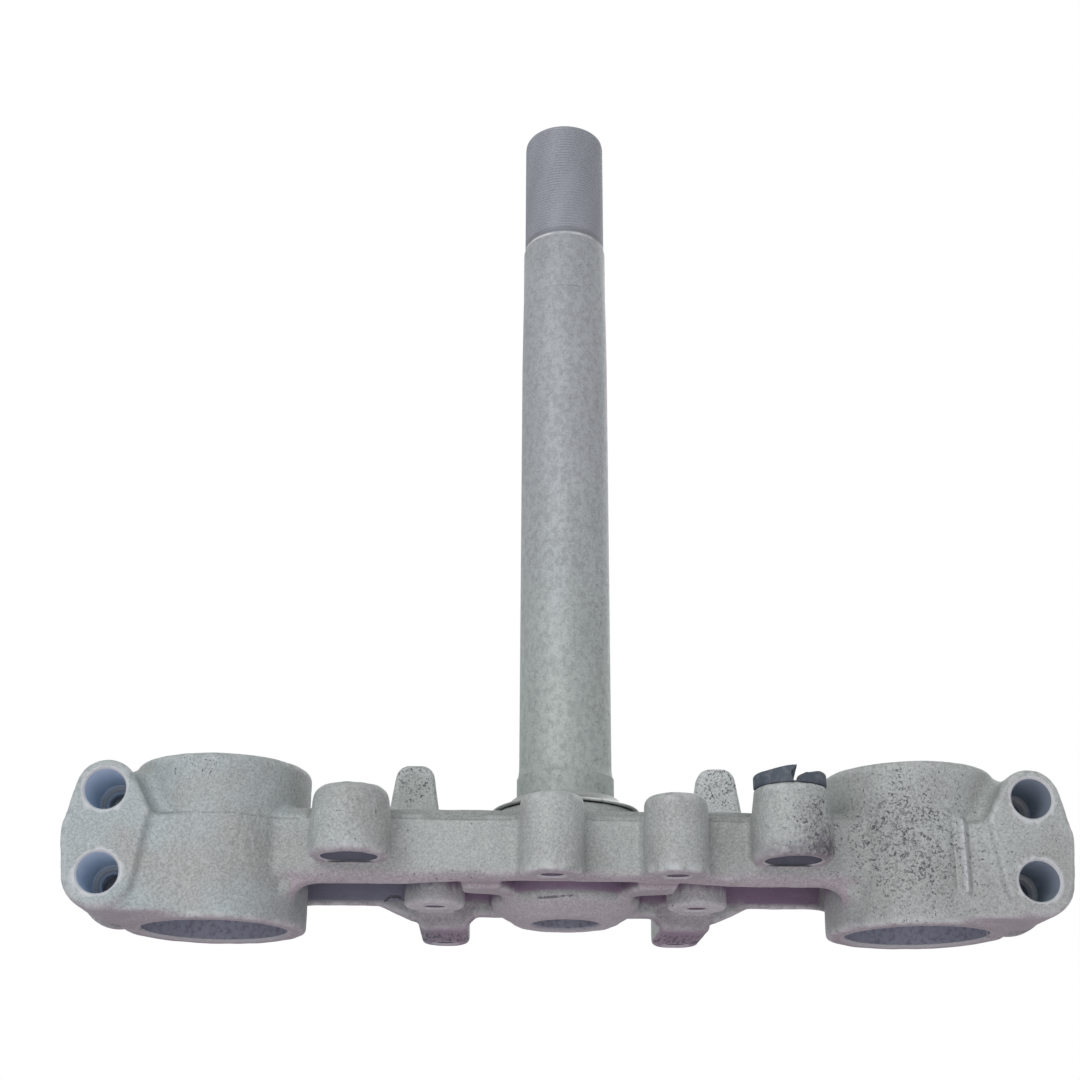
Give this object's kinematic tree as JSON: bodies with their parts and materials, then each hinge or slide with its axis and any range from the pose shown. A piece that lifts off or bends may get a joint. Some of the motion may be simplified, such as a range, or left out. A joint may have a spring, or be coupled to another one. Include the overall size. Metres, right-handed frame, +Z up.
{
  "type": "motorcycle triple clamp",
  "caption": "Lower motorcycle fork yoke with split fork clamps, a channel bridge, front bosses, steering stops and a threaded hollow steering stem.",
  "frame": {"origin": "on the steering axis, at the face the lower bearing sits on", "axes": "+Z up the steering stem, -Y towards the front of the motorcycle, +X across the forks"},
  "size_m": [0.266, 0.0858, 0.2624],
  "materials": {
    "cast_yoke": "blasted casting, speckled with wear",
    "stem": "dull grey steel",
    "washer": "steel with a bare bright edge",
    "bush": "matt dark blue-grey, torn"
  },
  "bodies": {
    "root": {"lower_yoke": "cast_yoke", "steering_stem": "stem", "dust_seal_washer": "washer", "stay_bush": "bush"}
  },
  "joints": []
}
